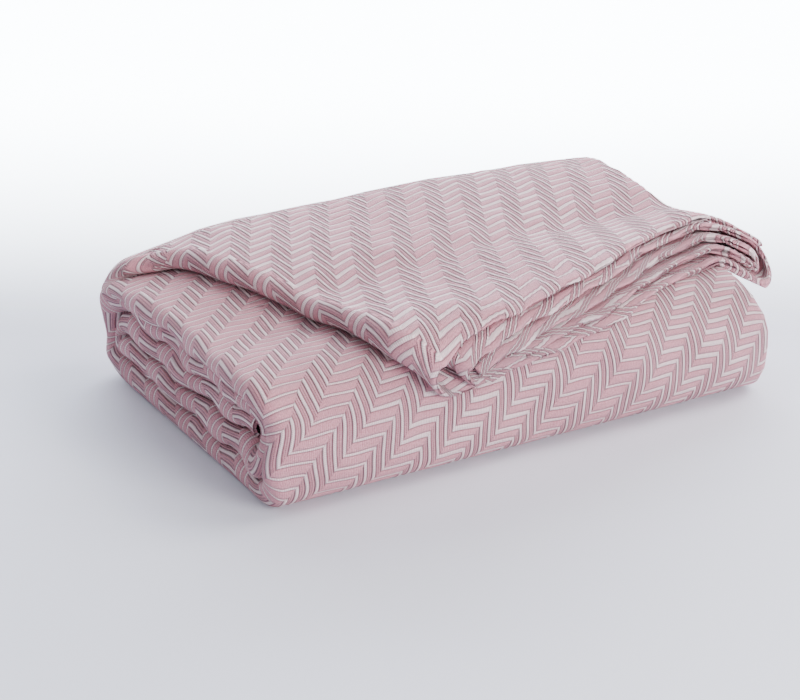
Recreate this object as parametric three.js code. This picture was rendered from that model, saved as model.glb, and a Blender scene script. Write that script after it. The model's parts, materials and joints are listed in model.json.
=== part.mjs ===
import * as THREE from "three";

// Sizes in millimetres. X runs along the long front face, Y to the back and Z up.

// The cloth and the way its layers lie
const clothThickness = 3.0;
const hemThickness = 5.2;
const layerPitch = 4.9;
const hemLayerPitch = 7.4;
const stripPitch = 25;
const halfStrip = 2 * layerPitch + clothThickness / 2;

// The folded pile, measured at the middle of its turns
const stripLeft = -240;
const stripRight = 247;
const frontTurnY = -110;
const backTurnY = 141;
const bottomLevel = halfStrip;
const topLevel = bottomLevel + 4 * stripPitch;
const flapLevel = bottomLevel + 5 * stripPitch;
const frontTurnZ = bottomLevel + 2 * stripPitch;
const backTurnZ = bottomLevel + 1.5 * stripPitch;
const flapTurnZ = bottomLevel + 4.5 * stripPitch;

// Middle of everything that the pile reaches, which is moved to X and Y of zero
const pileMiddle = { x: 21.5, y: -1.5 };

// Turns are rounded squares, fuller than a circle
const turnSquareness = 3;

// Shares of a run's width, from its left end, closer together where the pile bends most
const runShares = [0, 0.1, 0.32, 0.58, 0.8, 0.91, 1];

// Runs and turns across the strip, in order from the free edge on top.
// level and radius are in layer pitches, set is how far a turn is pushed in.
const acrossRows = [
  { kind: "run", end: "left", level: 2, startSet: 3.2, endSet: 0 },
  { kind: "turn", end: "left", centre: 0, radius: 2, set: 0, down: 1, steps: 5 },
  { kind: "run", end: "right", level: -2, startSet: 0, endSet: 0 },
  { kind: "turn", end: "right", centre: -0.5, radius: 1.5, set: 0, down: -1, steps: 5 },
  { kind: "run", end: "left", level: 1, startSet: 0, endSet: 0.6 },
  { kind: "turn", end: "left", centre: 0, radius: 1, set: 0.6, down: 1, steps: 4 },
  { kind: "run", end: "right", level: -1, startSet: 0.6, endSet: -0.8 },
  { kind: "turn", end: "right", centre: -0.5, radius: 0.5, set: -0.8, down: -1, steps: 4 },
  { kind: "run", end: "left", level: 0, startSet: -0.8, endSet: 1.4 },
];

// Runs and turns along the strip, from its inner end to the hem of the flap.
// left and right are how far the strip's two ends stand out at the end of the row.
const alongRows = [
  { kind: "run", level: 2, up: -1, toBack: true, left: -2, right: 0, steps: 3 },
  { kind: "turn", end: "back", radius: 0.5, rise: -1, left: 1, right: 2, steps: 4 },
  { kind: "run", level: 1, up: 1, toBack: false, left: 2, right: 4, steps: 3 },
  { kind: "turn", end: "front", radius: 1, rise: 1, left: 3, right: 2, steps: 5 },
  { kind: "run", level: 3, up: -1, toBack: true, left: 1, right: -4, steps: 3 },
  { kind: "turn", end: "back", radius: 1.5, rise: -1, left: 3, right: 2, steps: 6 },
  { kind: "run", level: 0, up: 1, toBack: false, left: 0, right: 7, steps: 3 },
  { kind: "turn", end: "front", radius: 2, rise: 1, left: 14, right: -10, steps: 8 },
  { kind: "top", left: 14, right: -6, steps: 5 },
  { kind: "topTurn", left: 14, right: -6, steps: 4 },
  { kind: "flap", left: 0, right: 0, steps: 12 },
];

// Shares of the flap's length, from its fold to its hem
const flapShares = [0, 0.1, 0.22, 0.34, 0.46, 0.56, 0.65, 0.73, 0.8, 0.86, 0.92, 0.96, 1];
const hemShare = 0.96;

// The flap's slanted left edge and its right edge, seen from above and laid flat
const flapLeftEdge = [
  { y: -209, x: -83 },
  { y: -191, x: -102 },
  { y: -177, x: -114 },
  { y: -155, x: -127 },
  { y: -114, x: -138 },
  { y: -62, x: -150 },
  { y: -21, x: -159 },
  { y: 47, x: -181 },
  { y: 76, x: -191 },
  { y: 110, x: -203 },
  { y: 136, x: -238 },
];
const flapRightEdge = [
  { y: -80, x: 285 },
  { y: -45, x: 278 },
  { y: -15, x: 252 },
  { y: 40, x: 238 },
  { y: 90, x: 240 },
  { y: 160, x: 247 },
];

// The back fold and the hem of the flap, across from its left edge
const flapFold = [
  { across: 0, y: 136 },
  { across: 1, y: 160 },
];
const flapHem = [
  { across: 0, y: -184 },
  { across: 0.15, y: -165 },
  { across: 0.35, y: -144 },
  { across: 0.5, y: -126 },
  { across: 0.62, y: -103 },
  { across: 0.78, y: -78 },
  { across: 0.88, y: -66 },
  { across: 1, y: -76 },
];
const hemStepPerLayer = { left: 9, right: 12 };
const hemStepFrom = 0.35;
const hemFanFrom = 0.7;
const hemFanTo = 0.98;

// Soft unevenness of the pile. Each row lowers or lifts a stretch of it.
const backSag = { fromY: 110, over: 80, depth: 16, fromZ: 95, fade: 25 };
const rightLow = { fromX: 20, over: 240, depth: 12, fromZ: 20, fade: 90 };
const arch = { x: 235, halfWidth: 32, fromY: 40, overY: 90, height: 5, fromZ: 108, fade: 14 };
const droopLow = { fromX: 232, over: 52, depth: 27 };
const droopTop = { fromX: 235, perSquare: 0.00625, fromZ: 112, fade: 24 };
const droopAlong = { back: 0.4, frontY: 60, fadeY: 140, fromZ: 60, fade: 50 };
const cornerDip = { fromX: -140, overX: 110, fromY: 40, overY: 120, depth: 19, fromZ: 86, fade: 62 };
const trough = { x: -158, y: -44, slope: 0.12, halfWidth: 24, depth: 5, fromZ: 105, fade: 35 };
const ripples = [
  { axis: "y", alongX: 0.021, alongZ: 0.03, phase: 0.4, depth: 1.8 },
  { axis: "y", alongX: 0.047, alongZ: -0.02, phase: 1.9, depth: 0.9 },
  { axis: "x", alongX: 0.004, alongY: 0.026, alongZ: 0.07, phase: 0.8, depth: 2.0 },
  { axis: "z", alongX: 0.017, alongY: 0.031, phase: 2.2, depth: 1.6 },
];
const rippleFloor = 45;

function mix(a, b, t) {
  return a + (b - a) * t;
}

function clamp01(t) {
  return Math.min(1, Math.max(0, t));
}

function smooth(t) {
  const k = clamp01(t);
  return k * k * (3 - 2 * k);
}

// Value of one column of a table where another column has a given value
function lookUp(rows, from, value, to) {
  const last = rows[rows.length - 1];
  if (value <= rows[0][from]) return rows[0][to];
  if (value >= last[from]) return last[to];
  const i = rows.findIndex((row) => row[from] > value);
  const low = rows[i - 1];
  const high = rows[i];
  return mix(low[to], high[to], (value - low[from]) / (high[from] - low[from]));
}

// Point of the unit rounded square at an angle
function roundedSquare(angle) {
  const c = Math.cos(angle);
  const s = Math.sin(angle);
  const power = 2 / turnSquareness;
  return {
    out: Math.sign(c) * Math.pow(Math.abs(c), power),
    up: Math.sign(s) * Math.pow(Math.abs(s), power),
  };
}

// Angles of the rounded square by the length measured down from its top
const quarterSamples = 160;
const overhangAngle = 0.6;
const turnLengths = [{ length: 0, angle: Math.PI / 2 }];
for (let i = 1; i <= quarterSamples; i++) {
  const angle = mix(Math.PI / 2, -overhangAngle, i / quarterSamples);
  const before = turnLengths[i - 1];
  const a = roundedSquare(before.angle);
  const b = roundedSquare(angle);
  turnLengths.push({ length: before.length + Math.hypot(b.out - a.out, b.up - a.up), angle });
}

// Nodes across the strip: across is 0 at the left turn and 1 at the right one,
// set and level are in layer pitches, and the normal points out of the outer face.
function acrossNodes() {
  const nodes = [];
  for (const row of acrossRows) {
    const first = nodes.length === 0 ? 0 : 1;
    const steps = row.steps ?? runShares.length - 1;
    for (let i = first; i <= steps; i++) {
      if (row.kind === "run") {
        const across = row.end === "left" ? runShares[steps - i] : runShares[i];
        const t = row.end === "left" ? 1 - across : across;
        const outward = nodes.length === 0 ? 1 : Math.sign(nodes[nodes.length - 1].normalLevel);
        nodes.push({
          across,
          set: mix(row.startSet, row.endSet, t),
          level: row.level,
          normalSet: 0,
          normalLevel: outward,
        });
      } else {
        const side = row.end === "left" ? -1 : 1;
        const angle = (Math.PI * i) / steps;
        const normalSet = side * Math.sin(angle);
        const normalLevel = row.down * Math.cos(angle);
        nodes.push({
          across: row.end === "left" ? 0 : 1,
          set: row.set + row.radius * normalSet,
          level: row.centre + row.radius * normalLevel,
          normalSet,
          normalLevel,
        });
      }
    }
  }
  return nodes;
}

// Stations along the strip, each with its row, its share of it and the ends there
function alongStations() {
  const stations = [];
  let left = alongRows[0].left;
  let right = alongRows[0].right;
  for (const row of alongRows) {
    const first = stations.length === 0 ? 0 : 1;
    for (let i = first; i <= row.steps; i++) {
      const t = i / row.steps;
      const ends = { left: mix(left, row.left, t), right: mix(right, row.right, t) };
      stations.push({ row, step: i, t, ...ends });
    }
    left = row.left;
    right = row.right;
  }
  return stations;
}

// A turn of the strip about a centre: side is 1 at the back and -1 at the front
function onTurn(centreY, centreZ, radius, side, angle) {
  const p = roundedSquare(angle);
  return { y: centreY + side * radius * p.out, z: centreZ + radius * p.up };
}

// How far back the flap laid flat reaches: down is 0 at its fold and 1 at its hem
function flapFlatY(across, down) {
  return mix(lookUp(flapFold, "across", across, "y"), lookUp(flapHem, "across", across, "y"), down);
}

// The flap laid flat, with one layer's hem set further out by a step.
// across is 0 at its left edge and 1 at its right one.
function flapFlat(across, down, step) {
  const leftX = lookUp(flapLeftEdge, "y", flapFlatY(0, down) - step.left, "x");
  const rightX = lookUp(flapRightEdge, "y", flapFlatY(1, down) - step.right, "x");
  return { x: mix(leftX, rightX, across), y: flapFlatY(across, down) - mix(step.left, step.right, across) };
}

function onFlap(node, share, off) {
  const down = flapShares[Math.round(share * (flapShares.length - 1))];
  const steps = (2 - node.level) * smooth((down - hemStepFrom) / (1 - hemStepFrom));
  const step = { left: hemStepPerLayer.left * steps, right: hemStepPerLayer.right * steps };
  const flat = flapFlat(node.across, down, step);
  const pitch = mix(layerPitch, hemLayerPitch, smooth((down - hemFanFrom) / (hemFanTo - hemFanFrom)));
  const x = flat.x + node.set * pitch + node.normalSet * off;
  const y = flat.y;
  const above = (node.level + 2) * pitch - 2 * layerPitch + node.normalLevel * off;
  if (y >= frontTurnY) return { x, y, z: flapLevel + above };
  const middle = flapLevel - frontTurnZ;
  const angle = lookUp(turnLengths, "length", (frontTurnY - y) / middle, "angle");
  return { x, ...onTurn(frontTurnY, frontTurnZ, middle + above, -1, angle) };
}

function place(node, station, off) {
  const { row, t } = station;
  const height = node.level * layerPitch + node.normalLevel * off;
  const across = node.set * layerPitch + node.normalSet * off;
  const x = mix(stripLeft - station.left, stripRight + station.right, node.across) + across;
  if (row.kind === "run") {
    const y = mix(frontTurnY, backTurnY, row.toBack ? t : 1 - t);
    return { x, y, z: bottomLevel + row.level * stripPitch + row.up * height };
  }
  if (row.kind === "turn") {
    const angle = row.rise * Math.PI * (t - 0.5);
    const radius = row.radius * stripPitch - height;
    if (row.end === "front") return { x, ...onTurn(frontTurnY, frontTurnZ, radius, -1, angle) };
    return { x, ...onTurn(backTurnY, backTurnZ, radius, 1, angle) };
  }
  const fold = flapFlat(node.across, 0, { left: 0, right: 0 });
  const foldX = fold.x + across;
  if (row.kind === "top") {
    return { x, y: mix(frontTurnY, fold.y, t), z: topLevel - height };
  }
  if (row.kind === "topTurn") {
    const turned = onTurn(fold.y, flapTurnZ, stripPitch / 2 + height, 1, Math.PI * (t - 0.5));
    return { x: mix(x, foldX, smooth(t)), ...turned };
  }
  return onFlap(node, t, off);
}

function settle(p) {
  let { x, y, z } = p;
  const sagShare = Math.max(0, (y - backSag.fromY) / backSag.over);
  z -= backSag.depth * sagShare * sagShare * clamp01((z - backSag.fromZ) / backSag.fade);
  const lowShare = smooth((x - rightLow.fromX) / rightLow.over);
  z -= rightLow.depth * lowShare * clamp01((z - rightLow.fromZ) / rightLow.fade);
  const fromArch = (x - arch.x) / arch.halfWidth;
  const archShare = smooth((arch.fromY - y) / arch.overY) * clamp01((z - arch.fromZ) / arch.fade);
  z += arch.height * Math.exp(-fromArch * fromArch) * archShare;
  const lowDrop = droopLow.depth * smooth((x - droopLow.fromX) / droopLow.over);
  const topDrop = droopTop.perSquare * Math.pow(Math.max(0, x - droopTop.fromX), 2);
  const drop = mix(lowDrop, topDrop, clamp01((z - droopTop.fromZ) / droopTop.fade));
  const front = mix(droopAlong.back, 1, smooth((droopAlong.frontY - y) / droopAlong.fadeY));
  z -= drop * front * clamp01((z - droopAlong.fromZ) / droopAlong.fade);
  const nearLeft = smooth((cornerDip.fromX - x) / cornerDip.overX);
  const nearBack = smooth((y - cornerDip.fromY) / cornerDip.overY);
  z -= cornerDip.depth * nearLeft * nearBack * clamp01((z - cornerDip.fromZ) / cornerDip.fade);
  const fromTrough = (y - trough.y - (x - trough.x) * trough.slope) / trough.halfWidth;
  z -= trough.depth * Math.exp(-fromTrough * fromTrough) * clamp01((z - trough.fromZ) / trough.fade);
  const lift = smooth(z / rippleFloor);
  const shift = { x: 0, y: 0, z: 0 };
  for (const row of ripples) {
    const wave = Math.sin(row.alongX * x + (row.alongY ?? 0) * y + (row.alongZ ?? 0) * z + row.phase);
    shift[row.axis] += row.depth * wave * lift;
  }
  return new THREE.Vector3(x + shift.x - pileMiddle.x, y + shift.y - pileMiddle.y, z + shift.z);
}

// Half thickness of the cloth at a station: thicker along the turned hem
function halfThickness(station) {
  const onHem = station.row.kind === "flap" && flapShares[station.step] >= hemShare;
  return (onHem ? hemThickness : clothThickness) / 2;
}

function blanketGeometry() {
  const nodes = acrossNodes();
  const stations = alongStations();
  const positions = [];
  const outer = [];
  const inner = [];
  for (const station of stations) {
    const half = halfThickness(station);
    for (const [face, off] of [[outer, half], [inner, -half]]) {
      const line = [];
      for (const node of nodes) {
        line.push(positions.length / 3);
        positions.push(...settle(place(node, station, off)).toArray());
      }
      face.push(line);
    }
  }
  const index = [];
  const quad = (a, b, c, d) => index.push(a, b, c, a, c, d);
  const lastNode = nodes.length - 1;
  const lastStation = stations.length - 1;
  for (let j = 0; j < lastStation; j++) {
    for (let i = 0; i < lastNode; i++) {
      quad(outer[j][i], outer[j][i + 1], outer[j + 1][i + 1], outer[j + 1][i]);
      quad(inner[j][i], inner[j + 1][i], inner[j + 1][i + 1], inner[j][i + 1]);
    }
    quad(outer[j][0], outer[j + 1][0], inner[j + 1][0], inner[j][0]);
    quad(outer[j][lastNode], inner[j][lastNode], inner[j + 1][lastNode], outer[j + 1][lastNode]);
  }
  for (let i = 0; i < lastNode; i++) {
    quad(outer[0][i], inner[0][i], inner[0][i + 1], outer[0][i + 1]);
    quad(outer[lastStation][i], outer[lastStation][i + 1], inner[lastStation][i + 1], inner[lastStation][i]);
  }
  const geometry = new THREE.BufferGeometry();
  geometry.setAttribute("position", new THREE.Float32BufferAttribute(positions, 3));
  geometry.setIndex(index);
  geometry.computeVertexNormals();
  return geometry;
}

const dustyPink = new THREE.MeshStandardMaterial({ color: 0xcfa9b2, roughness: 0.92, metalness: 0 });

const blanket = new THREE.Mesh(blanketGeometry(), dustyPink);
blanket.name = "blanket";

const part = new THREE.Group();
part.name = "folded_blanket";
part.add(blanket);

export default part;
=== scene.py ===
import json
import math

import bpy
import numpy as np
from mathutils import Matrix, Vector

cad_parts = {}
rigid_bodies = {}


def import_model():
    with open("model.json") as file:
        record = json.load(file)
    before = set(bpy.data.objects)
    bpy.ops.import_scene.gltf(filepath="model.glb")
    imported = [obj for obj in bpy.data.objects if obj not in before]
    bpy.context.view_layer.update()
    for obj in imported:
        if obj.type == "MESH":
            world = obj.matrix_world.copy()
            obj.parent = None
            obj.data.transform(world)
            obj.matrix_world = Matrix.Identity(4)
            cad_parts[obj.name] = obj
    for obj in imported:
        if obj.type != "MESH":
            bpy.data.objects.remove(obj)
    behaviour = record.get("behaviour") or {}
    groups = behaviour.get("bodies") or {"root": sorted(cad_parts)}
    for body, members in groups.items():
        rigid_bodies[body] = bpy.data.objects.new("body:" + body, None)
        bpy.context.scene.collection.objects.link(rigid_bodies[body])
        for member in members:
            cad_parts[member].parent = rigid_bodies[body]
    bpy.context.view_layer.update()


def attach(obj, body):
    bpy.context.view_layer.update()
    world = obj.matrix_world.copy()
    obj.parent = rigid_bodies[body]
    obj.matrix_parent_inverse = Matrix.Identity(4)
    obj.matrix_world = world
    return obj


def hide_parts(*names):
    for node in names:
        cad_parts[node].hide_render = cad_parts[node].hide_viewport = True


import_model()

# Camera: where it aims, how far off it stands and how it turns, in metres and degrees
AIM = Vector((-0.0705, -0.0145, 0.055))
AZIMUTH = -29.5
ELEVATION = 25.0
DISTANCE = 2.6
SENSOR_MM = 36.0
FOCAL_MM = 128.4


def away(azimuth, elevation):
    a = math.radians(azimuth)
    e = math.radians(elevation)
    return Vector((math.sin(a) * math.cos(e), -math.cos(a) * math.cos(e), math.sin(e)))


def add_camera():
    data = bpy.data.cameras.new("camera")
    data.sensor_width = SENSOR_MM
    data.lens = FOCAL_MM
    data.clip_end = 50
    camera = bpy.data.objects.new("camera", data)
    back = away(AZIMUTH, ELEVATION)
    camera.location = AIM + back * DISTANCE
    camera.rotation_euler = back.to_track_quat("Z", "Y").to_euler()
    bpy.context.collection.objects.link(camera)
    bpy.context.scene.camera = camera


add_camera()

# Sizes in millimetres. X runs along the long front face, Y to the back and Z up.
CLOTH = 3.0
HEM_CLOTH = 5.4
LAYER_PITCH = 4.9
HEM_LAYER_PITCH = 7.4
STRIP_PITCH = 25.0
OUTER_LEVEL = 2
HALF_STRIP = OUTER_LEVEL * LAYER_PITCH + CLOTH / 2

STRIP_LEFT = -240.0
STRIP_RIGHT = 247.0
FRONT_TURN_Y = -110.0
BACK_TURN_Y = 141.0
BOTTOM_LEVEL = HALF_STRIP
TOP_LEVEL = BOTTOM_LEVEL + 4 * STRIP_PITCH
FLAP_LEVEL = BOTTOM_LEVEL + 5 * STRIP_PITCH
FRONT_TURN_Z = BOTTOM_LEVEL + 2 * STRIP_PITCH
BACK_TURN_Z = BOTTOM_LEVEL + 1.5 * STRIP_PITCH
FLAP_TURN_Z = BOTTOM_LEVEL + 4.5 * STRIP_PITCH
PILE_MIDDLE = (21.5, -1.5)
SQUARENESS = 3.0

# Rows across the strip: kind, end, level or centre, radius, set in, set out, way round, and where
# the outer and the inner face of the row show and so are cut finely
RUN = "run"
TURN = "turn"
ACROSS_ROWS = [
    dict(kind=RUN, end="left", level=2, start_set=3.2, end_set=0, outer="flap"),
    dict(kind=TURN, end="left", centre=0, radius=2, set=0, down=1, outer="always"),
    dict(kind=RUN, end="right", level=-2, start_set=0, end_set=0, outer="upper", inner="hem"),
    dict(kind=TURN, end="right", centre=-0.5, radius=1.5, set=0, down=-1, outer="hem"),
    dict(kind=RUN, end="left", level=1, start_set=0, end_set=0.6, outer="hem"),
    dict(kind=TURN, end="left", centre=0, radius=1, set=0.6, down=1, outer="hem"),
    dict(kind=RUN, end="right", level=-1, start_set=0.6, end_set=-0.8, inner="hem"),
    dict(kind=TURN, end="right", centre=-0.5, radius=0.5, set=-0.8, down=-1),
    dict(kind=RUN, end="left", level=0, start_set=-0.8, end_set=1.4, outer="hem"),
]

# Rows along the strip, from its inner end to the hem of the flap
ALONG_ROWS = [
    dict(kind=RUN, level=2, up=-1, to_back=True, left=-2, right=0),
    dict(kind=TURN, end="back", radius=0.5, rise=-1, left=1, right=2),
    dict(kind=RUN, level=1, up=1, to_back=False, left=2, right=4),
    dict(kind=TURN, end="front", radius=1, rise=1, left=3, right=2),
    dict(kind=RUN, level=3, up=-1, to_back=True, left=1, right=-4),
    dict(kind=TURN, end="back", radius=1.5, rise=-1, left=3, right=2),
    dict(kind=RUN, level=0, up=1, to_back=False, left=0, right=7),
    dict(kind=TURN, end="front", radius=2, rise=1, left=14, right=-10),
    dict(kind="top", left=14, right=-6),
    dict(kind="top turn", left=14, right=-6),
    dict(kind="flap", left=0, right=0),
]

# The flap laid flat: Y and X of its left and right edges
FLAP_LEFT_EDGE = [
    (-220, -84),
    (-203, -92),
    (-186, -104),
    (-172, -115),
    (-155, -127),
    (-114, -138),
    (-62, -150),
    (-21, -159),
    (47, -181),
    (76, -191),
    (110, -203),
    (136, -238),
]
FLAP_RIGHT_EDGE = [
    (-80, 285),
    (-45, 278),
    (-15, 252),
    (40, 238),
    (90, 240),
    (160, 247),
]

# Share across the flap and Y of its back fold and of its hem
FLAP_FOLD = [(0, 136), (1, 160)]
FLAP_HEM = [
    (0, -186),
    (0.06, -174),
    (0.15, -163),
    (0.35, -144),
    (0.5, -126),
    (0.62, -103),
    (0.78, -78),
    (0.88, -66),
    (1, -76),
]

# On the flap each lower layer is set forward of the one above, in millimetres a layer, less at the
# left corner. Shares run from the back fold, 0, to the hem, 1, and across from left to right.
HEM_STEP_LEFT = 9.0
HEM_STEP_RIGHT = 12.0
HEM_STEP_FROM = 0.35
HEM_STEP_AT_NOSE = 0.78
NOSE_SHARE = 0.1
HEM_FAN_FROM = 0.7
HEM_FAN_TO = 0.98

# The inner layers stay back from the left corner, and the top layer's right end lies lower
INNER_NOSE_ROW = 4
INNER_NOSE_BACK = 19.0
INNER_NOSE_FROM = 0.6
INNER_NOSE_POWER = 6
TOP_EDGE_LOWER = 3.4
TOP_EDGE_ACROSS = (0.75, 0.95)
TOP_EDGE_DOWN = (0.4, 0.9)

# The doubled part of the hem, how softly it thins, and the rounding of the free edges
HEM_DOUBLE = 10.0
HEM_EASE = 4.0
EDGE_ROUND = 1.5


def mix(a, b, t):
    return a + (b - a) * t


def share(t):
    return np.clip(t, 0, 1)


def smooth(t):
    k = share(t)
    return k * k * (3 - 2 * k)


def between(value, low, high):
    """0 up to low and 1 from high on, smooth between."""
    return smooth((value - low) / (high - low))


def along_curve(rows, value):
    """Smooth curve through a table's rows, without overshoot."""
    x = np.array([row[0] for row in rows], float)
    y = np.array([row[1] for row in rows], float)
    step = np.diff(x)
    slope = np.diff(y) / step
    tangent = np.zeros(len(x))
    tangent[0] = slope[0]
    tangent[-1] = slope[-1]
    for i in range(1, len(x) - 1):
        if slope[i - 1] * slope[i] > 0:
            tangent[i] = 2 * slope[i - 1] * slope[i] / (slope[i - 1] + slope[i])
    v = np.clip(value, x[0], x[-1])
    i = np.clip(np.searchsorted(x, v, side="right") - 1, 0, len(x) - 2)
    t = (v - x[i]) / step[i]
    h = step[i]
    near = (1 + 2 * t) * (1 - t) ** 2 * y[i] + t * (1 - t) ** 2 * h * tangent[i]
    far = t * t * (3 - 2 * t) * y[i + 1] + t * t * (t - 1) * h * tangent[i + 1]
    return near + far


def rounded_square(angle):
    c = np.cos(angle)
    s = np.sin(angle)
    power = 2 / SQUARENESS
    return np.sign(c) * np.abs(c) ** power, np.sign(s) * np.abs(s) ** power


# Length along the unit rounded square, measured down from its top
TURN_SAMPLES = 1200
TURN_ANGLES = np.linspace(math.pi / 2, -math.pi / 2, TURN_SAMPLES + 1)
TURN_POINTS = np.stack(rounded_square(TURN_ANGLES), 1)
TURN_LENGTHS = np.concatenate([[0], np.cumsum(np.hypot(*np.diff(TURN_POINTS, axis=0).T))])
HALF_TURN = TURN_LENGTHS[-1]


def turn_angle(length):
    return np.interp(length, TURN_LENGTHS, TURN_ANGLES)


def on_turn(centre_y, centre_z, radius, side, angle):
    out, up = rounded_square(angle)
    return centre_y + side * radius * out, centre_z + radius * up


# How finely each row is cut into cells, and each cell that shows into squares
RUN_CELLS = 14
TURN_CELLS = 6
FINE_RUN = 15
FINE_TURN = 3
FINE_STEP = 2.45
HEM_FINE_STEP = FINE_STEP / 1.2
ALONG_CELLS = [7, 4, 7, 5, 7, 7, 7, 9, 7, 6]
FLAP_CELLS = 12

# Extra cuts at a free edge, as shares of its row, and at the hem, in millimetres from its end
EDGE_MARKS = [0.0, 0.0008, 0.0025, 0.006]
HEM_MARKS = [16.0, 12.5, 9.0, 5.0, 2.6, 1.2, 0.4, 0.0]


class Cells:
    """Cells along one way of the cloth. Each has a row, its stretch of it and its number of squares."""

    def __init__(self):
        self.row = []
        self.start = []
        self.end = []
        self.fine = []

    def add(self, row, marks, fine):
        for a, b in zip(marks[:-1], marks[1:]):
            self.row.append(row)
            self.start.append(a)
            self.end.append(b)
            self.fine.append(fine if isinstance(fine, int) else max(1, round(fine(a, b))))

    def finish(self):
        self.first = np.concatenate([[0], np.cumsum(self.fine)])
        rows = []
        shares = []
        for row, a, b, n in zip(self.row, self.start, self.end, self.fine):
            rows += [row] * n
            shares += list(a + (b - a) * np.arange(n) / n)
        self.rows = np.array(rows + [self.row[-1]])
        self.shares = np.array(shares + [self.end[-1]])
        return self


def across_cells():
    cells = Cells()
    last = len(ACROSS_ROWS) - 1
    for i, row in enumerate(ACROSS_ROWS):
        if row["kind"] == TURN:
            cells.add(i, list(np.linspace(0, 1, TURN_CELLS + 1)), FINE_TURN)
            continue
        marks = list(np.linspace(0, 1, RUN_CELLS + 1))
        if i == 0:
            cells.add(i, EDGE_MARKS, 1)
            marks[0] = EDGE_MARKS[-1]
        if i == last:
            marks[-1] = 1 - EDGE_MARKS[-1]
        cells.add(i, marks, FINE_RUN)
        if i == last:
            cells.add(i, [1 - m for m in reversed(EDGE_MARKS)], 1)
    return cells.finish()


FLAP_LENGTH = 335.0


def row_length(row):
    """Length of a row of the strip, the flap apart."""
    if row["kind"] == TURN:
        return HALF_TURN * (row["radius"] * STRIP_PITCH + HALF_STRIP)
    if row["kind"] == "top turn":
        return HALF_TURN * STRIP_PITCH / 2
    return BACK_TURN_Y - FRONT_TURN_Y


def along_cells():
    cells = Cells()
    for i, row in enumerate(ALONG_ROWS[:-1]):
        marks = list(np.linspace(0, 1, ALONG_CELLS[i] + 1))
        cells.add(i, marks, lambda a, b, n=row_length(row): (b - a) * n / FINE_STEP)
    flap = len(ALONG_ROWS) - 1
    hem = [1 - m / FLAP_LENGTH for m in HEM_MARKS]
    marks = list(np.linspace(0, hem[0], FLAP_CELLS + 1))
    cells.add(flap, marks, lambda a, b: (b - a) * FLAP_LENGTH / FINE_STEP)
    cells.add(flap, hem, lambda a, b: (b - a) * FLAP_LENGTH / HEM_FINE_STEP)
    return cells.finish()


class Nodes:
    """The section across the strip: share from the left turn to the right one, set and level in
    layer pitches, and the outward normal."""

    def __init__(self, cells):
        n = len(cells.rows)
        self.across = np.zeros(n)
        self.set = np.zeros(n)
        self.level = np.zeros(n)
        self.normal_set = np.zeros(n)
        self.normal_level = np.zeros(n)
        self.row = cells.rows
        self.t = cells.shares
        outward = 1
        for i, row in enumerate(ACROSS_ROWS):
            on = cells.rows == i
            t = cells.shares[on]
            if row["kind"] == RUN:
                self.across[on] = 1 - t if row["end"] == "left" else t
                self.set[on] = mix(row["start_set"], row["end_set"], t)
                self.level[on] = row["level"]
                self.normal_level[on] = outward
                continue
            side = -1 if row["end"] == "left" else 1
            normal_set = side * np.sin(math.pi * t)
            normal_level = row["down"] * np.cos(math.pi * t)
            self.across[on] = 0 if row["end"] == "left" else 1
            self.set[on] = row["set"] + row["radius"] * normal_set
            self.level[on] = row["centre"] + row["radius"] * normal_level
            self.normal_set[on] = normal_set
            self.normal_level[on] = normal_level
            outward = -row["down"]


def flap_flat(across, down, step_left, step_right):
    """X and Y of points of the flap before it bends down over the front."""
    fold_y = along_curve(FLAP_FOLD, across)
    hem_y = along_curve(FLAP_HEM, across)
    left_y = mix(FLAP_FOLD[0][1], FLAP_HEM[0][1], down) - step_left
    right_y = mix(FLAP_FOLD[1][1], FLAP_HEM[-1][1], down) - step_right
    left_x = along_curve(FLAP_LEFT_EDGE, left_y)
    right_x = along_curve(FLAP_RIGHT_EDGE, right_y)
    y = mix(fold_y, hem_y, down) - mix(step_left, step_right, across)
    return mix(left_x, right_x, across), y


# Waves of each layer's hem: depth, step along it and phase. The last has the weave's ribs.
HEM_RIB = 8.6
HEM_WAVES = [
    (1.3, 0.062, 0),
    (0.8, 0.131, 1.7),
    (0.35, 2 * math.pi / HEM_RIB, 0),
]
HEM_WAVE_LENGTH = 480.0
HEM_WAVE_SHIFT = 37.0
HEM_WAVE_FROM = 0.8
HEM_WAVE_ENDS = 0.12


def hem_wobble(nodes, down):
    """How far each layer's hem wanders to the front and back."""
    x = nodes.across * HEM_WAVE_LENGTH + nodes.level * HEM_WAVE_SHIFT
    wander = sum(depth * np.sin(step * x + phase) for depth, step, phase in HEM_WAVES)
    ends = smooth(nodes.across / HEM_WAVE_ENDS) * smooth((1 - nodes.across) / HEM_WAVE_ENDS)
    return wander * between(down, HEM_WAVE_FROM, 1) * ends


def flap_steps(nodes, down):
    """How far each layer's hem is set forward of the top one, at the left and the right end."""
    steps = (OUTER_LEVEL - nodes.level) * between(down, HEM_STEP_FROM, 1)
    steps = steps * mix(HEM_STEP_AT_NOSE, 1, smooth(nodes.across / NOSE_SHARE))
    return HEM_STEP_LEFT * steps, HEM_STEP_RIGHT * steps


def place_run(x, row, t, height):
    y = mix(FRONT_TURN_Y, BACK_TURN_Y, t if row["to_back"] else 1 - t)
    return x, np.full_like(x, y), BOTTOM_LEVEL + row["level"] * STRIP_PITCH + row["up"] * height


def place_turn(x, row, t, height):
    angle = turn_angle(HALF_TURN * (t if row["rise"] < 0 else 1 - t))
    radius = row["radius"] * STRIP_PITCH - height
    if row["end"] == "front":
        y, z = on_turn(FRONT_TURN_Y, FRONT_TURN_Z, radius, -1, angle)
    else:
        y, z = on_turn(BACK_TURN_Y, BACK_TURN_Z, radius, 1, angle)
    return x, y, z


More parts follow.
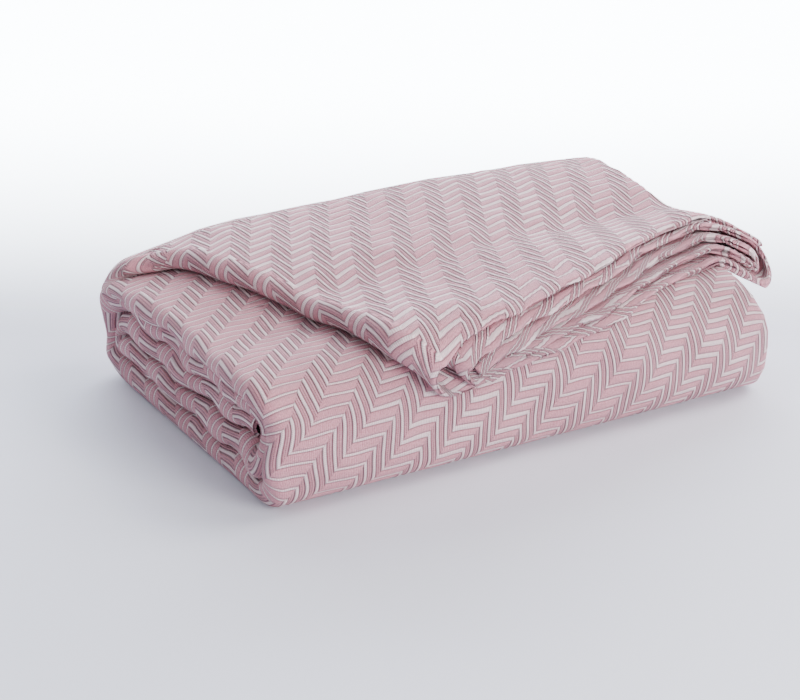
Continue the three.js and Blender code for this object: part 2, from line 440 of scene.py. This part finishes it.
def place_flap(nodes, t, off):
    x, y = flap_flat(nodes.across, t, *flap_steps(nodes, t))
    y = y + hem_wobble(nodes, t)
    inner_nose = (nodes.row >= INNER_NOSE_ROW) * (1 - nodes.across) ** INNER_NOSE_POWER
    x = x + INNER_NOSE_BACK * inner_nose * between(t, INNER_NOSE_FROM, 1)
    pitch = mix(LAYER_PITCH, HEM_LAYER_PITCH, between(t, HEM_FAN_FROM, HEM_FAN_TO))
    x = x + nodes.set * pitch + nodes.normal_set * off
    above = (nodes.level + OUTER_LEVEL) * pitch - OUTER_LEVEL * LAYER_PITCH + nodes.normal_level * off
    top_edge = (nodes.row == 0) * between(nodes.across, *TOP_EDGE_ACROSS) * between(t, *TOP_EDGE_DOWN)
    above = above - TOP_EDGE_LOWER * top_edge
    radius = FLAP_LEVEL - FRONT_TURN_Z
    angle = turn_angle(np.maximum(0, FRONT_TURN_Y - y) / radius)
    turned_y, turned_z = on_turn(FRONT_TURN_Y, FRONT_TURN_Z, radius + above, -1, angle)
    flat = y >= FRONT_TURN_Y
    return x, np.where(flat, y, turned_y), np.where(flat, FLAP_LEVEL + above, turned_z)


def place(nodes, row, left, right, t, off):
    """Points of one station of the strip, before it settles."""
    if row["kind"] == "flap":
        return place_flap(nodes, t, off)
    height = nodes.level * LAYER_PITCH + nodes.normal_level * off
    across = nodes.set * LAYER_PITCH + nodes.normal_set * off
    x = mix(STRIP_LEFT - left, STRIP_RIGHT + right, nodes.across) + across
    if row["kind"] == RUN:
        return place_run(x, row, t, height)
    if row["kind"] == TURN:
        return place_turn(x, row, t, height)
    none = np.zeros_like(x)
    fold_x, fold_y = flap_flat(nodes.across, 0, none, none)
    if row["kind"] == "top":
        return x, mix(FRONT_TURN_Y, fold_y, t), TOP_LEVEL - height
    angle = turn_angle(HALF_TURN * (1 - t))
    y, z = on_turn(fold_y, FLAP_TURN_Z, STRIP_PITCH / 2 + height, 1, angle)
    return mix(x, fold_x + across, smooth(t)), y, z


def squared(t):
    return share(t) ** 2


def bell(t):
    return np.exp(-(t**2))


# Sags of the pile: which way and how far they push, and for each axis where the push starts, over
# what length it grows, and how. The slant is a line that runs a little askew to the front.
PILE_SAGS = [
    dict(way="z", push=-16, where=[("y", 110, 80, squared), ("z", 95, 25, share)]),
    dict(way="z", push=-12, where=[("x", 20, 240, smooth), ("z", 20, 90, share)]),
    dict(way="z", push=5, where=[("x", 235, 32, bell), ("y", 40, -90, smooth), ("z", 108, 14, share)]),
    dict(way="z", push=-19, where=[("x", -140, -110, smooth), ("y", 40, 120, smooth), ("z", 86, 62, share)]),
]
TROUGH = [dict(way="z", push=-5, where=[("slant", -25.04, 24, bell), ("z", 105, 35, share)])]
TROUGH_SLOPE = 0.12

# The droop of the right end: low layers ease down by DROOP_LOW, the flap falls in a curve
DROOP_LOW = 27.0
DROOP_LOW_X = (232, 284)
DROOP_BEND = 0.00625
DROOP_BEND_X = 235.0
DROOP_FLAP_Z = (112, 136)
DROOP_Z = (60, 110)
DROOP_AT_BACK = 0.4
DROOP_BACK_Y = 60.0
DROOP_FRONT_Y = -80.0

# Waves of the whole pile: which way they push, their steps along X, Y and Z, phase and depth
RIPPLES = [
    ("y", 0.021, 0, 0.03, 0.4, 1.8),
    ("y", 0.047, 0, -0.02, 1.9, 0.9),
    ("x", 0.004, 0.026, 0.07, 0.8, 2.0),
    ("z", 0.017, 0.031, 0, 2.2, 1.6),
]
RIPPLE_FLOOR = 45.0


def reach(at, where):
    """Share of a push that each point gets."""
    total = 1
    for axis, start, length, ease in where:
        total = total * ease((at[axis] - start) / length)
    return total


def push(at, rows):
    for row in rows:
        at[row["way"]] = at[row["way"]] + row["push"] * reach(at, row["where"])


def ripple(at, seen, rows, amount):
    """Moves the points by waves of the places that are seen."""
    for way, by_x, by_y, by_z, phase, depth in rows:
        wave = np.sin(by_x * seen["x"] + by_y * seen["y"] + by_z * seen["z"] + phase)
        at[way] = at[way] + depth * amount * wave


def droop(x, y, z):
    """How far the right end falls."""

    def rise(value, low, high):
        return share((value - low) / (high - low))

    low = DROOP_LOW * between(x, *DROOP_LOW_X)
    bent = DROOP_BEND * np.maximum(0, x - DROOP_BEND_X) ** 2
    front = mix(DROOP_AT_BACK, 1, between(y, DROOP_BACK_Y, DROOP_FRONT_Y))
    return mix(low, bent, rise(z, *DROOP_FLAP_Z)) * front * rise(z, *DROOP_Z)


def settle(x, y, z):
    """Sags, droops and dips of the pile."""
    at = dict(x=x, y=y, z=z)
    push(at, PILE_SAGS)
    at["z"] = at["z"] - droop(**at)
    at["slant"] = at["y"] - TROUGH_SLOPE * at["x"]
    push(at, TROUGH)
    ripple(at, dict(at), RIPPLES, smooth(at["z"] / RIPPLE_FLOOR))
    return at["x"] - PILE_MIDDLE[0], at["y"] - PILE_MIDDLE[1], at["z"]


# The cloth's small unevenness: waves at the left end, a bulge there and a dip in the top, small
# lumps and a slow wave elsewhere, in the same terms as the sags and waves above
LOOSE_FLOOR = 30.0
LEFT_END = [("x", -195, -60, smooth), ("z", 120, -25, smooth)]
LEFT_END_WAVES = [
    ("z", 0, 0.083, 0.045, 0.6, 2.6),
    ("z", 0, 0.171, -0.06, 2.0, 0.6),
    ("x", 0, 0.066, 0.085, 1.0, -2.2),
]
BULGE = [("x", -195, -60, smooth), ("y", 10, 90, smooth), ("z", 25, 30, smooth), ("z", 135, -25, smooth)]
TOP_DIP = [("x", 5, 120, bell), ("y", 60, 90, smooth), ("z", 100, 30, smooth)]
LOOSE_SAGS = [dict(way="x", push=-5.5, where=BULGE), dict(way="z", push=-4.5, where=TOP_DIP)]
LUMP_DEPTH = 0.7
LUMPS = [(0.11, 0.05, 0), (-0.04, 0.07, 1.3)]
SLOW_WAVE = [("y", 0.075, 0, 0.06, 0.5, 0.9)]


def loosen(x, y, z):
    """Adds the small unevenness. Each wave starts from the places that the one before it made."""
    at = dict(x=x, y=y, z=z)
    lift = smooth(z / LOOSE_FLOOR)
    ripple(at, at, LEFT_END_WAVES, lift * reach(at, LEFT_END))
    push(at, LOOSE_SAGS)
    lumps = LUMP_DEPTH * lift
    for by_x, by_y, phase in LUMPS:
        lumps = lumps * np.sin(by_x * at["x"] + by_y * at["y"] + phase)
    at["z"] = at["z"] + lumps
    ripple(at, at, SLOW_WAVE, lift)
    return at["x"], at["y"], at["z"]


# The weave's own coordinates: P across the strip and Q along it, in millimetres. The cloth is
# drawn tighter towards the right and over the shoulder, and is pulled askew on the flap.
WEAVE_TURN = math.radians(19.0)
WEAVE_PIVOT = (-238.0, 136.0)
WEAVE_START = 1400.0
WEAVE_UP = [(-1400, -1740), (0, 0), (105, 100), (480, 571)]
WEAVE_TIGHT = (0.914, 0.00042)
WEAVE_LEAN = 0.085
WEAVE_LEAN_FROM = 115.0
WEAVE_BODY_AT = (0.0, 7.7)
FLAP_START = 2050.0
FLAP_TIGHT = (1.126, 1.018)
FLAP_LEAN = 0.253
FLAP_RISE = 0.023
WEAVE_FLAP_AT = (-35.6, 800.0)
TURN_RADII = (2, 1.5, 1, 0.5)


def weave_across(nodes, along, left, right):
    """P where along is the distance from the strip's left side, and left and right are its ends."""
    arcs = [math.pi * r * LAYER_PITCH for r in TURN_RADII]
    p = np.zeros_like(along)
    start = -arcs[0] - left
    for i, row in enumerate(ACROSS_ROWS):
        on = nodes.row == i
        if row["kind"] == TURN:
            arc = arcs[i // 2]
            p[on] = start + arc * nodes.t[on]
            start = start + arc
        elif i == 0:
            p[on] = start - (along[on] - left)
        elif row["end"] == "right":
            p[on] = start + (along[on] - left)
            start = start + (right - left)
        else:
            p[on] = start + (right - along[on])
            start = start + (right - left)
    return p


def weave_on_body(nodes, q):
    def tight(x):
        return WEAVE_TIGHT[0] * x + WEAVE_TIGHT[1] * x * x

    length = STRIP_RIGHT - STRIP_LEFT
    p = weave_across(nodes, tight(nodes.across * length), 0.0, tight(length))
    up = q - WEAVE_START
    lean = WEAVE_LEAN * max(0, up - WEAVE_LEAN_FROM)
    q = np.interp(up, [row[0] for row in WEAVE_UP], [row[1] for row in WEAVE_UP])
    return p - lean + WEAVE_BODY_AT[0], np.full_like(p, q + WEAVE_BODY_AT[1])


def weave_on_flap(nodes, down, q):
    step_left, step_right = flap_steps(nodes, down)
    x, y = flap_flat(nodes.across, down, step_left, step_right)
    c = math.cos(WEAVE_TURN)
    s = math.sin(WEAVE_TURN)
    dx = x - WEAVE_PIVOT[0]
    dy = y - WEAVE_PIVOT[1]
    along = c * dx + s * dy
    q = q + s * dx - c * dy - FLAP_START
    askew = along + FLAP_LEAN * q
    top = nodes.row == 0
    p = weave_across(nodes, askew, askew[top][-1], askew[top][0])
    q = q + FLAP_RISE * along
    return FLAP_TIGHT[0] * p + WEAVE_FLAP_AT[0], FLAP_TIGHT[1] * q + WEAVE_FLAP_AT[1]


# The stepped line of the weave in millimetres: level and upright legs, and the spacing of lines
LEVEL_LEG = 28.2
UPRIGHT_LEG = 36.4
LINE_ACROSS = 8.6
LINE_UP = 11.6
LEVEL_PART = LINE_UP * LEVEL_LEG
REPEAT = LEVEL_PART + LINE_ACROSS * UPRIGHT_LEG
PUCKER = 0.5
LEVEL_PUCKER = -0.6
LEG_EASE = 50.0


def puckers(p, q):
    """Height of the cloth's soft ridges, one to each line of the weave."""
    w = p * LINE_UP - q * LINE_ACROSS
    step = np.floor(w / REPEAT)
    rest = w - step * REPEAT
    level_wave = np.cos(2 * math.pi * (q + step * UPRIGHT_LEG) / LINE_UP)
    upright_wave = np.cos(2 * math.pi * (p - (step + 1) * LEVEL_LEG) / LINE_ACROSS)
    upright = smooth((rest - LEVEL_PART) / LEG_EASE + 0.5) * smooth((REPEAT - rest) / LEG_EASE)
    return PUCKER * mix(LEVEL_PUCKER * level_wave, upright_wave, upright)


def edge_rounding(nodes):
    """How much of its thickness the cloth has near its free edges."""
    first = np.where(nodes.row == 0, nodes.t, 1)
    last = np.where(nodes.row == len(ACROSS_ROWS) - 1, 1 - nodes.t, 1)
    edge = np.minimum(first, last) * (STRIP_RIGHT - STRIP_LEFT)
    return np.sqrt(1 - (1 - share(edge / EDGE_ROUND)) ** 2)


def half_thickness(row, t):
    if row["kind"] != "flap":
        return CLOTH / 2
    to_hem = (1 - t) * FLAP_LENGTH
    half = mix(HEM_CLOTH, CLOTH, smooth((to_hem - HEM_DOUBLE) / HEM_EASE)) / 2
    return half * math.sqrt(1 - (1 - min(to_hem / half, 1)) ** 2)


def weave_at(nodes, row, t, start, flap_start):
    """The weave's coordinates at one station of the strip."""
    if row["kind"] == "flap":
        return np.stack(weave_on_flap(nodes, t, flap_start), 1)
    if row["kind"] == "top turn":
        body = np.stack(weave_on_body(nodes, start), 1)
        flap = np.stack(weave_on_flap(nodes, 0, flap_start), 1)
        return mix(body, flap, t)
    return np.stack(weave_on_body(nodes, start + row_length(row) * t), 1)


def build_grids():
    """Outer and inner points and the weave's coordinates, for every fine square corner."""
    across = across_cells()
    along = along_cells()
    nodes = Nodes(across)
    rounding = edge_rounding(nodes)
    starts = np.concatenate([[0], np.cumsum([row_length(row) for row in ALONG_ROWS[:-1]])])
    sides = [(row["left"], row["right"]) for row in ALONG_ROWS]
    sides = sides[:1] + sides
    count = (len(along.rows), len(across.rows))
    outer = np.zeros((*count, 3))
    inner = np.zeros((*count, 3))
    weave = np.zeros((*count, 2))
    for j, (i, t) in enumerate(zip(along.rows, along.shares)):
        row = ALONG_ROWS[i]
        left, right = (mix(a, b, t) for a, b in zip(sides[i], sides[i + 1]))
        weave[j] = weave_at(nodes, row, t, starts[i], starts[-1])
        ridges = puckers(weave[j, :, 0], weave[j, :, 1]) * (nodes.normal_set == 0)
        half = half_thickness(row, t)
        for grid, side in ((outer, 1), (inner, -1)):
            x, y, z = place(nodes, row, left, right, t, (side * half + ridges) * rounding)
            grid[j] = np.stack(loosen(*settle(x, y, z)), 1)
    return across, along, outer, inner, weave


# Width of the hem that is cut finely, and the share of the top that the flap leaves bare at the
# front and at the back
HEM_ZONE = 16.5
BARE_TOP = (0.36, 0.05)


def cell_shows(mark, row, start, first):
    """Whether a face with this mark in ACROSS_ROWS shows on a cell of the cloth."""
    flap = len(ALONG_ROWS) - 1
    top = flap - 2
    if mark == "hem":
        return row == flap and start > 1 - HEM_ZONE / FLAP_LENGTH
    if mark == "upper":
        return row == top - 1 or (row == top and first < mix(*BARE_TOP, start))
    return mark == "always" or (mark == "flap" and row == flap)


def fine_cells(across, along):
    """Which cells of the outer and inner faces are cut into fine squares."""
    outer = np.zeros((len(along.row), len(across.row)), bool)
    inner = outer.copy()
    for b, (row, start) in enumerate(zip(along.row, along.start)):
        for a, (ply, first) in enumerate(zip(across.row, across.start)):
            marks = ACROSS_ROWS[ply]
            outer[b, a] = cell_shows(marks.get("outer"), row, start, first)
            inner[b, a] = cell_shows(marks.get("inner"), row, start, first)
    return outer, inner


class Mesh:
    def __init__(self):
        self.ids = {}
        self.keys = []
        self.faces = []

    def corner(self, side, j, i):
        key = (side, j, i)
        if key not in self.ids:
            self.ids[key] = len(self.keys)
            self.keys.append(key)
        return self.ids[key]


def add_face_side(mesh, side, fine, across, along):
    """Squares of one face of the cloth: fine ones where they show, else one a cell."""
    cells_b, cells_a = fine.shape
    padded = np.zeros((cells_b + 2, cells_a + 2), bool)
    padded[1:-1, 1:-1] = fine
    for b in range(cells_b):
        j0, j1 = along.first[b], along.first[b + 1]
        for a in range(cells_a):
            i0, i1 = across.first[a], across.first[a + 1]
            if fine[b, a]:
                for j in range(j0, j1):
                    for i in range(i0, i1):
                        ring = [(j, i), (j, i + 1), (j + 1, i + 1), (j + 1, i)]
                        if side:
                            ring.reverse()
                        mesh.faces.append([mesh.corner(side, *k) for k in ring])
                continue
            below = padded[b, a + 1]
            above = padded[b + 2, a + 1]
            before = padded[b + 1, a]
            after = padded[b + 1, a + 2]
            ring = [(j0, i) for i in (range(i0, i1) if below else [i0])]
            ring += [(j, i1) for j in (range(j0, j1) if after else [j0])]
            ring += [(j1, i) for i in (range(i1, i0, -1) if above else [i1])]
            ring += [(j, i0) for j in (range(j1, j0, -1) if before else [j1])]
            if side:
                ring.reverse()
            mesh.faces.append([mesh.corner(side, *k) for k in ring])


def add_edges(mesh, outer, inner, across, along):
    """Closes the cloth along its two free edges and its two hems."""

    def close(outer_line, inner_line):
        ring = [mesh.corner(0, *k) for k in outer_line]
        ring += [mesh.corner(1, *k) for k in reversed(inner_line)]
        mesh.faces.append(ring)

    def edge(first, last, is_fine, at):
        ks = range(first, last + 1) if is_fine else [first, last]
        return [at(k) for k in ks]

    for b in range(len(along.row)):
        span = (along.first[b], along.first[b + 1])
        for a, i in ((0, 0), (len(across.row) - 1, across.first[-1])):
            out = edge(*span, outer[b, a], lambda k, i=i: (k, i))
            inn = edge(*span, inner[b, a], lambda k, i=i: (k, i))
            if i:
                out.reverse()
                inn.reverse()
            close(list(reversed(out)), list(reversed(inn)))
    for a in range(len(across.row)):
        span = (across.first[a], across.first[a + 1])
        for b, j in ((0, 0), (len(along.row) - 1, along.first[-1])):
            out = edge(*span, outer[b, a], lambda k, j=j: (j, k))
            inn = edge(*span, inner[b, a], lambda k, j=j: (j, k))
            if j:
                out.reverse()
                inn.reverse()
            close(out, inn)


def make_blanket():
    across, along, outer, inner, weave = build_grids()
    fine_outer, fine_inner = fine_cells(across, along)
    mesh = Mesh()
    add_face_side(mesh, 0, fine_outer, across, along)
    add_face_side(mesh, 1, fine_inner, across, along)
    add_edges(mesh, fine_outer, fine_inner, across, along)
    keys = np.array(mesh.keys)
    grids = np.stack([outer, inner])
    points = grids[keys[:, 0], keys[:, 1], keys[:, 2]] / 1000
    data = bpy.data.meshes.new("blanket_cloth")
    data.from_pydata(points.tolist(), [], mesh.faces)
    layer = data.uv_layers.new(name="weave")
    loops = np.zeros(len(data.loops), int)
    data.loops.foreach_get("vertex_index", loops)
    corner_keys = keys[loops]
    uv = weave[corner_keys[:, 1], corner_keys[:, 2]] / 1000
    layer.data.foreach_set("uv", uv.astype(np.float32).ravel())
    data.polygons.foreach_set("use_smooth", [True] * len(data.polygons))
    data.update()
    obj = bpy.data.objects.new("blanket_cloth", data)
    bpy.context.collection.objects.link(obj)
    return obj


# Colours, as seen
def seen(r, g, b):
    def linear(v):
        v /= 255
        return v / 12.92 if v <= 0.04045 else ((v + 0.055) / 1.055) ** 2.4

    return (linear(r), linear(g), linear(b), 1)


PINK = seen(227, 162, 175)
DEEP_PINK = seen(195, 126, 139)
OFF_WHITE = seen(248, 229, 231)
# The groove colour below is painted shade, laid into the grooves and stitch rows of the weave
GROOVE_PAINTED_SHADE = seen(140, 88, 100)


class Nodegraph:
    """Short ways to wire a material's nodes."""

    def __init__(self, material):
        material.use_nodes = True
        self.tree = material.node_tree
        self.shader = self.tree.nodes["Principled BSDF"]

    def put(self, socket, value):
        if isinstance(value, bpy.types.NodeSocket):
            self.tree.links.new(value, socket)
        else:
            socket.default_value = value

    def math(self, operation, *values):
        node = self.tree.nodes.new("ShaderNodeMath")
        node.operation = operation
        for socket, value in zip(node.inputs, values):
            self.put(socket, value)
        return node.outputs[0]

    def add(self, *values):
        total = values[0]
        for value in values[1:]:
            total = self.math("ADD", total, value)
        return total

    def times(self, a, b):
        return self.math("MULTIPLY", a, b)

    def ramp(self, value, low, high):
        """0 where value is at low, 1 where it is at high, smooth between."""
        node = self.tree.nodes.new("ShaderNodeMapRange")
        node.interpolation_type = "SMOOTHSTEP"
        for name, v in (("Value", value), ("From Min", low), ("From Max", high)):
            self.put(node.inputs[name], v)
        return node.outputs[0]

    def near(self, value, middle, width):
        """1 where value is at middle, 0 from width away."""
        return self.ramp(self.math("ABSOLUTE", self.math("SUBTRACT", value, middle)), width, 0.0)

    def ripple(self, value, pitch):
        """Wave from 0 to 1."""
        wave = self.math("SINE", self.times(value, 2 * math.pi / pitch))
        return self.math("MULTIPLY_ADD", wave, 0.5, 0.5)

    def fade(self, share_, a, b):
        node = self.tree.nodes.new("ShaderNodeMix")
        self.put(node.inputs[0], share_)
        self.put(node.inputs[2], a)
        self.put(node.inputs[3], b)
        return node.outputs[0]

    def blend(self, share_, a, b):
        node = self.tree.nodes.new("ShaderNodeMix")
        node.data_type = "RGBA"
        self.put(node.inputs[0], share_)
        self.put(node.inputs[6], a)
        self.put(node.inputs[7], b)
        return node.outputs[2]

    def noise(self, vector, scale, detail=2.0, rough=0.5):
        node = self.tree.nodes.new("ShaderNodeTexNoise")
        self.put(node.inputs["Vector"], vector)
        node.inputs["Scale"].default_value = scale
        node.inputs["Detail"].default_value = detail
        node.inputs["Roughness"].default_value = rough
        return node.outputs[0]


# Off-white bands in millimetres: level ones are thinnest at LEVEL_BAND and swell by BAND_SWELL once
# a period, upright ones fade between their inner and outer half widths
BAND_PERIOD = 295.0
BAND_WIDEST = 178.0
LEVEL_BAND = 0.9
BAND_SWELL = 1.3
BAND_BLUR = 0.4
UPRIGHT_BAND = (1.75, 0.95)
LEG_BLEND = 4.0

# Grooves: how far off the band they lie, their half width, and the rows of stitches
LEVEL_GROOVE = (0.55, 0.8)
LEVEL_GROOVE_SHARE = 0.6
UPRIGHT_GROOVE = (2.05, 0.9)
STITCH = 1.9
STITCH_SLANT = 0.4
STITCH_LEAST = 0.4
STITCH_ROW = (LINE_ACROSS / 2 + 0.2, 0.85)

# Threads and grain: spacing, slant and scale
THREAD = 1.7
TWILL_SLANT = 0.9
GRAIN_SCALE = 620.0
GRAIN_DETAIL = 3.0
GRAIN_ROUGH = 0.75
GRAIN_RANGE = (0.32, 0.68)
PATCH_SCALE = 45.0
GRAIN_SHARE = 0.75
THREAD_FADE = -0.5
# Share of painted shade darkening the grooves and stitch rows
GROOVE_PAINTED_SHADE_SHARE = 0.9

# Relief of each part, in millimetres, and the bump's reach in metres
LEVEL_DOME = 0.5
LEVEL_DOME_WIDTH = 2.6
UPRIGHT_DOME = 0.75
GROOVE_RELIEF = -0.75
BAND_RELIEF = 0.25
THREAD_RELIEF = 0.2
GRAIN_RELIEF = 0.34
BUMP_REACH = 0.0022


def weave_places(g, uv):
    """Where a point lies: P and Q, its place across each leg's lines, and whether it is upright."""
    split = g.tree.nodes.new("ShaderNodeSeparateXYZ")
    g.put(split.inputs[0], uv)
    p = g.times(split.outputs[0], 1000.0)
    q = g.times(split.outputs[1], 1000.0)
    w = g.math("SUBTRACT", g.times(p, LINE_UP), g.times(q, LINE_ACROSS))
    step = g.math("FLOOR", g.math("DIVIDE", w, REPEAT))
    rest = g.math("SUBTRACT", w, g.times(step, REPEAT))
    leg_q = g.add(q, g.times(step, UPRIGHT_LEG))
    past_corner = g.math("SUBTRACT", g.math("SUBTRACT", p, g.times(step, LEVEL_LEG)), LEVEL_LEG)
    return dict(
        p=p,
        q=q,
        level=g.math("WRAP", leg_q, LINE_UP / 2, -LINE_UP / 2),
        upright=g.math("WRAP", past_corner, LINE_ACROSS / 2, -LINE_ACROSS / 2),
        between=g.math("WRAP", past_corner, LINE_ACROSS, 0.0),
        is_upright=g.ramp(rest, LEVEL_PART - LEG_BLEND, LEVEL_PART + LEG_BLEND),
    )


def weave_bands(g, at):
    """How far a point is off its level band, and how off-white it is."""
    swell = g.ripple(g.math("SUBTRACT", at["p"], BAND_WIDEST - BAND_PERIOD / 4), BAND_PERIOD)
    level_half = g.math("MULTIPLY_ADD", swell, BAND_SWELL, LEVEL_BAND)
    level_off = g.math("SUBTRACT", g.math("ABSOLUTE", at["level"]), level_half)
    level_white = g.ramp(level_off, BAND_BLUR, -BAND_BLUR)
    upright_white = g.ramp(g.math("ABSOLUTE", at["upright"]), *UPRIGHT_BAND)
    return level_off, g.fade(at["is_upright"], level_white, upright_white)


def weave_grooves(g, at, level_off):
    """Grooves beside each band, and a row of stitches that parts the pink of the upright legs. The mask
    shapes the relief and also places the painted shade that darkens them.
    """
    level_groove = g.times(g.near(level_off, *LEVEL_GROOVE), LEVEL_GROOVE_SHARE)
    band_groove = g.near(g.math("ABSOLUTE", at["upright"]), *UPRIGHT_GROOVE)
    beat = g.ripple(g.add(at["q"], g.times(at["p"], STITCH_SLANT)), STITCH)
    beat = g.math("MULTIPLY_ADD", beat, 1 - STITCH_LEAST, STITCH_LEAST)
    stitches = g.times(g.near(g.math("ABSOLUTE", at["between"]), *STITCH_ROW), beat)
    return g.fade(at["is_upright"], level_groove, g.math("MAXIMUM", band_groove, stitches))


def weave_threads(g, at):
    """Fine ribs across the level bands, slanted ones along the upright ones."""
    twill = g.ripple(g.add(at["q"], g.times(at["p"], TWILL_SLANT)), STITCH)
    return g.fade(at["is_upright"], g.ripple(at["p"], THREAD), twill)


def cloth_material():
    material = bpy.data.materials.new("pink_cloth")
    g = Nodegraph(material)
    uv = g.tree.nodes.new("ShaderNodeUVMap")
    uv.uv_map = "weave"
    at = weave_places(g, uv.outputs[0])
    level_off, white = weave_bands(g, at)
    groove = weave_grooves(g, at, level_off)
    threads = weave_threads(g, at)
    grain = g.ramp(g.noise(uv.outputs[0], GRAIN_SCALE, GRAIN_DETAIL, GRAIN_ROUGH), *GRAIN_RANGE)
    patches = g.noise(uv.outputs[0], PATCH_SCALE)

    deep = g.add(g.times(grain, GRAIN_SHARE), g.times(patches, 1 - GRAIN_SHARE))
    white_share = g.times(white, g.math("MULTIPLY_ADD", threads, THREAD_FADE, 1.0))
    colour = g.blend(white_share, g.blend(deep, PINK, DEEP_PINK), OFF_WHITE)
    # Painted shade: the grooves and stitch rows are darkened in the base colour
    g.put(g.shader.inputs["Base Color"], g.blend(g.times(groove, GROOVE_PAINTED_SHADE_SHARE), colour, GROOVE_PAINTED_SHADE))

    level_dome = g.times(g.ramp(g.math("ABSOLUTE", level_off), 0.0, LEVEL_DOME_WIDTH), LEVEL_DOME)
    upright_dome = g.ripple(g.add(at["upright"], LINE_ACROSS / 8), LINE_ACROSS / 2)
    relief = g.fade(at["is_upright"], level_dome, g.times(upright_dome, UPRIGHT_DOME))
    relief = g.add(relief, g.times(groove, GROOVE_RELIEF), g.times(white, BAND_RELIEF))
    relief = g.add(relief, g.times(threads, THREAD_RELIEF), g.times(grain, GRAIN_RELIEF))
    bump = g.tree.nodes.new("ShaderNodeBump")
    bump.inputs["Strength"].default_value = 1.0
    bump.inputs["Distance"].default_value = BUMP_REACH
    g.put(bump.inputs["Height"], relief)
    g.put(g.shader.inputs["Normal"], bump.outputs[0])
    g.shader.inputs["Roughness"].default_value = 0.92
    g.shader.inputs["Specular IOR Level"].default_value = 0.2
    g.shader.inputs["Sheen Weight"].default_value = 0.22
    g.shader.inputs["Sheen Roughness"].default_value = 0.5
    g.shader.inputs["Sheen Tint"].default_value = (0.96, 0.96, 1, 1)
    return material


# The backdrop: a sheet of paper that runs level, then curves up far behind. Behind the blanket it is painted
# lighter and glows, as painted light.
BACKDROP_WIDTH = 9.0
BACKDROP_FRONT = 4.0
BACKDROP_BEND = 3.4
BACKDROP_RADIUS = 1.2
BACKDROP_HEIGHT = 3.0
BACKDROP_STEPS = 24
# Painted light: the paper's colour turns lighter and it glows further back, in place of light falling there
FLOOR_NEAR = seen(219, 219, 231)
FLOOR_FAR_PAINTED_LIGHT = seen(245, 248, 252)
PAINTED_GLOW_COLOUR = seen(236, 246, 255)
PAINTED_GLOW_FROM = 0.1
PAINTED_GLOW_TO = 0.85
PAINTED_GLOW_STRENGTH = 12.0


def backdrop_material():
    material = bpy.data.materials.new("backdrop_paper")
    g = Nodegraph(material)
    place_at = g.tree.nodes.new("ShaderNodeTexCoord").outputs["Object"]
    split = g.tree.nodes.new("ShaderNodeSeparateXYZ")
    g.put(split.inputs[0], place_at)
    # Painted light: further back the paper is coloured lighter and made to glow
    far = g.ramp(split.outputs[1], PAINTED_GLOW_FROM, PAINTED_GLOW_TO)
    g.put(g.shader.inputs["Base Color"], g.blend(far, FLOOR_NEAR, FLOOR_FAR_PAINTED_LIGHT))
    g.shader.inputs["Emission Color"].default_value = PAINTED_GLOW_COLOUR
    g.put(g.shader.inputs["Emission Strength"], g.times(far, PAINTED_GLOW_STRENGTH))
    g.shader.inputs["Roughness"].default_value = 0.95
    return material


def add_backdrop():
    profile = [(-BACKDROP_FRONT, 0.0)]
    for i in range(BACKDROP_STEPS + 1):
        a = math.pi / 2 * i / BACKDROP_STEPS
        profile.append((BACKDROP_BEND + BACKDROP_RADIUS * math.sin(a), BACKDROP_RADIUS * (1 - math.cos(a))))
    profile.append((BACKDROP_BEND + BACKDROP_RADIUS, BACKDROP_HEIGHT))
    points = []
    for s, z in profile:
        points += [(-BACKDROP_WIDTH / 2, s, z), (BACKDROP_WIDTH / 2, s, z)]
    faces = [(2 * i, 2 * i + 1, 2 * i + 3, 2 * i + 2) for i in range(len(profile) - 1)]
    data = bpy.data.meshes.new("backdrop")
    data.from_pydata(points, [], faces)
    data.polygons.foreach_set("use_smooth", [True] * len(data.polygons))
    obj = bpy.data.objects.new("backdrop", data)
    obj.rotation_euler = (0, 0, math.radians(AZIMUTH))
    bpy.context.collection.objects.link(obj)
    data.materials.append(backdrop_material())


# Softboxes: name, azimuth and elevation they shine from, distance, size, power and colour
LIGHTS = [
    ("key_softbox", 62.0, 52.0, 2.2, 1.2, 42.0, (1.0, 0.985, 0.975)),
    ("front_softbox", 12.0, 20.0, 2.6, 1.2, 94.0, (1.0, 0.975, 0.965)),
    ("left_softbox", -72.0, 34.0, 2.4, 1.4, 10.0, (0.95, 0.97, 1.0)),
    ("back_softbox", 165.0, 50.0, 2.2, 1.5, 32.0, (0.88, 0.92, 1.0)),
]
SKY = (0.88, 0.93, 1.0, 1)
SKY_STRENGTH = 0.47


def add_lights():
    for name, azimuth, elevation, distance, size, power, colour in LIGHTS:
        data = bpy.data.lights.new(name, "AREA")
        data.size = size
        data.energy = power
        data.color = colour
        obj = bpy.data.objects.new(name, data)
        back = away(azimuth, elevation)
        obj.location = back * distance
        obj.rotation_euler = back.to_track_quat("Z", "Y").to_euler()
        bpy.context.collection.objects.link(obj)
    world = bpy.data.worlds.new("studio")
    world.use_nodes = True
    world.node_tree.nodes["Background"].inputs[0].default_value = SKY
    world.node_tree.nodes["Background"].inputs[1].default_value = SKY_STRENGTH
    bpy.context.scene.world = world


add_backdrop()
add_lights()

blanket = make_blanket()
blanket.data.materials.append(cloth_material())
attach(blanket, "root")
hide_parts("blanket")
